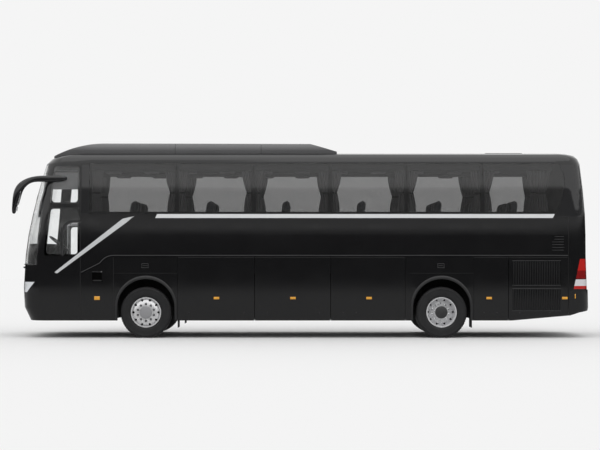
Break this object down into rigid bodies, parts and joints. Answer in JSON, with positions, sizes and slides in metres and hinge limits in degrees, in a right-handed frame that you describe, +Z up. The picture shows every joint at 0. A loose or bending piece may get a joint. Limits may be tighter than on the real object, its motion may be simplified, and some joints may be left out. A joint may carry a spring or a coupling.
{
  "type": "coach bus",
  "caption": "High-floor touring coach with hinged luggage flaps, swinging entrance doors, twin rear wheels and steered front wheels.",
  "frame": {"origin": "on the ground, under the middle of the bounding box", "axes": "+X towards the rear, +Y towards the kerb side with the doors, +Z up"},
  "size_m": [11.5158, 2.89, 3.8899],
  "materials": {
    "body_paint": "gloss",
    "clear_glass": "polished",
    "tinted_glass": "polished",
    "lamp_lens": "clear",
    "signal_lens": "gloss",
    "silver_trim": "satin",
    "black_plastic": "satin",
    "tyre": "matte",
    "wheel_alloy": "polished",
    "chassis_metal": "painted",
    "door_steel": "satin",
    "lining": "matte",
    "wheelhouse_plastic": "matte",
    "seat_fabric": "woven",
    "curtain_fabric": "woven"
  },
  "bodies": {
    "root": {"front_mask": "body_paint", "front_dome": "body_paint", "front_bumper": "body_paint", "rear_shell": "body_paint", "rear_bumper": "body_paint", "side_wall_left": "body_paint", "side_wall_right": "body_paint", "arch_panels": "body_paint", "roof_shell": "body_paint", "roof_pod": "body_paint", "windscreen": "clear_glass", "window_glass": "tinted_glass", "headlamps": "lamp_lens", "signal_lamps": "signal_lens", "waist_trim": "silver_trim", "mirrors": "black_plastic", "wipers": "black_plastic", "dashboard": "black_plastic", "steering_wheel": "black_plastic", "axles": "chassis_metal", "chassis_frame": "chassis_metal", "engine_block": "chassis_metal", "saloon_floor": "lining", "luggage_bays": "lining", "luggage_racks": "lining", "wheel_housings": "wheelhouse_plastic", "mud_flaps": "wheelhouse_plastic", "passenger_seats": "seat_fabric", "driver_seat": "seat_fabric", "curtains": "curtain_fabric"},
    "front_door_swing": {"front_door_arm": "door_steel"},
    "front_door": {"front_door": "body_paint", "front_door_glass": "tinted_glass"},
    "mid_door_swing": {"mid_door_arm": "door_steel"},
    "mid_door": {"mid_door": "body_paint", "mid_door_glass": "tinted_glass"},
    "knuckle_left": {"knuckle_left": "chassis_metal"},
    "knuckle_right": {"knuckle_right": "chassis_metal"},
    "tie_rod": {"tie_rod": "chassis_metal"},
    "front_wheel_left": {"front_tyre_left": "tyre", "front_rim_left": "wheel_alloy"},
    "front_wheel_right": {"front_tyre_right": "tyre", "front_rim_right": "wheel_alloy"},
    "rear_wheels_left": {"rear_tyres_left": "tyre", "rear_rims_left": "wheel_alloy"},
    "rear_wheels_right": {"rear_tyres_right": "tyre", "rear_rims_right": "wheel_alloy"},
    "engine_lid": {"engine_lid": "body_paint"},
    "roof_hatch": {"roof_hatch": "body_paint"},
    "luggage_flap_left_front": {"luggage_flap_left_front": "body_paint"},
    "luggage_flap_left_middle": {"luggage_flap_left_middle": "body_paint"},
    "luggage_flap_left_rear": {"luggage_flap_left_rear": "body_paint"},
    "service_flap_left": {"service_flap_left": "body_paint"},
    "engine_flap_left": {"engine_flap_left": "body_paint"},
    "luggage_flap_right_front": {"luggage_flap_right_front": "body_paint"},
    "luggage_flap_right_middle": {"luggage_flap_right_middle": "body_paint"},
    "luggage_flap_right_rear": {"luggage_flap_right_rear": "body_paint"},
    "service_flap_right": {"service_flap_right": "body_paint"},
    "engine_flap_right": {"engine_flap_right": "body_paint"}
  },
  "joints": [
    {"name": "steer_left", "type": "hinge", "parent": "root", "child": "knuckle_left", "pos_m": [-3.103, -0.93, 0.506], "axis": [0, 0, 1], "range_deg": [-45, 45]},
    {"name": "steer_right", "type": "hinge", "parent": "root", "child": "knuckle_right", "pos_m": [-3.103, 0.93, 0.506], "axis": [0, 0, 1], "range_deg": [-45, 45]},
    {"name": "tie_rod_pivot", "type": "hinge", "parent": "knuckle_left", "child": "tie_rod", "pos_m": [-2.843, -0.93, 0.394], "axis": [0, 0, 1], "range_deg": [-45, 45]},
    {"name": "front_wheel_left_spin", "type": "hinge", "parent": "knuckle_left", "child": "front_wheel_left", "pos_m": [-3.103, -1.097, 0.506], "axis": [0, 1, 0], "continuous": true},
    {"name": "front_wheel_right_spin", "type": "hinge", "parent": "knuckle_right", "child": "front_wheel_right", "pos_m": [-3.103, 1.097, 0.506], "axis": [0, 1, 0], "continuous": true},
    {"name": "rear_wheels_left_spin", "type": "hinge", "parent": "root", "child": "rear_wheels_left", "pos_m": [2.756, -1.097, 0.506], "axis": [0, 1, 0], "continuous": true},
    {"name": "rear_wheels_right_spin", "type": "hinge", "parent": "root", "child": "rear_wheels_right", "pos_m": [2.756, 1.097, 0.506], "axis": [0, 1, 0], "continuous": true},
    {"name": "luggage_flap_left_front_hinge", "type": "hinge", "parent": "root", "child": "luggage_flap_left_front", "pos_m": [0, -1.277, 1.59802], "axis": [-1, 0, 0], "range_deg": [0, 88]},
    {"name": "luggage_flap_left_middle_hinge", "type": "hinge", "parent": "root", "child": "luggage_flap_left_middle", "pos_m": [0, -1.277, 1.59802], "axis": [-1, 0, 0], "range_deg": [0, 88]},
    {"name": "luggage_flap_left_rear_hinge", "type": "hinge", "parent": "root", "child": "luggage_flap_left_rear", "pos_m": [0, -1.277, 1.59802], "axis": [-1, 0, 0], "range_deg": [0, 88]},
    {"name": "service_flap_left_hinge", "type": "hinge", "parent": "root", "child": "service_flap_left", "pos_m": [0, -1.277, 1.59802], "axis": [-1, 0, 0], "range_deg": [0, 88]},
    {"name": "engine_flap_left_hinge", "type": "hinge", "parent": "root", "child": "engine_flap_left", "pos_m": [0, -1.277, 1.59802], "axis": [-1, 0, 0], "range_deg": [0, 88]},
    {"name": "luggage_flap_right_front_hinge", "type": "hinge", "parent": "root", "child": "luggage_flap_right_front", "pos_m": [0, 1.277, 1.59802], "axis": [1, 0, 0], "range_deg": [0, 88]},
    {"name": "luggage_flap_right_middle_hinge", "type": "hinge", "parent": "root", "child": "luggage_flap_right_middle", "pos_m": [0, 1.277, 1.59802], "axis": [1, 0, 0], "range_deg": [0, 88]},
    {"name": "luggage_flap_right_rear_hinge", "type": "hinge", "parent": "root", "child": "luggage_flap_right_rear", "pos_m": [0, 1.277, 1.59802], "axis": [1, 0, 0], "range_deg": [0, 88]},
    {"name": "service_flap_right_hinge", "type": "hinge", "parent": "root", "child": "service_flap_right", "pos_m": [0, 1.277, 1.59802], "axis": [1, 0, 0], "range_deg": [0, 88]},
    {"name": "engine_flap_right_hinge", "type": "hinge", "parent": "root", "child": "engine_flap_right", "pos_m": [0, 1.277, 1.59802], "axis": [1, 0, 0], "range_deg": [0, 88]},
    {"name": "engine_lid_hinge", "type": "hinge", "parent": "root", "child": "engine_lid", "pos_m": [5.7185, 0, 1.8], "axis": [0, -1, 0], "range_deg": [0, 80]},
    {"name": "roof_hatch_hinge", "type": "hinge", "parent": "root", "child": "roof_hatch", "pos_m": [3.72, 0, 3.6885], "axis": [0, -1, 0], "range_deg": [0, 75]},
    {"name": "front_door_swing_hinge", "type": "hinge", "parent": "root", "child": "front_door_swing", "pos_m": [-5.01, 1.16, 1], "axis": [0, 0, 1], "range_deg": [0, 163]},
    {"name": "front_door_pivot", "type": "hinge", "parent": "front_door_swing", "child": "front_door", "pos_m": [-4.5916, 1.12339, 1], "axis": [0, 0, 1], "range_deg": [-163, 0]},
    {"name": "mid_door_swing_hinge", "type": "hinge", "parent": "root", "child": "mid_door_swing", "pos_m": [1.959, 1.16, 1], "axis": [0, 0, -1], "range_deg": [0, 163]},
    {"name": "mid_door_pivot", "type": "hinge", "parent": "mid_door_swing", "child": "mid_door", "pos_m": [1.5406, 1.12339, 1], "axis": [0, 0, -1], "range_deg": [-163, 0]}
  ],
  "couplings": [
    {"joint": "steer_right", "follows": "steer_left", "ratio": 1},
    {"joint": "tie_rod_pivot", "follows": "steer_left", "ratio": -1},
    {"joint": "front_door_pivot", "follows": "front_door_swing_hinge", "ratio": -1},
    {"joint": "mid_door_pivot", "follows": "mid_door_swing_hinge", "ratio": -1}
  ]
}
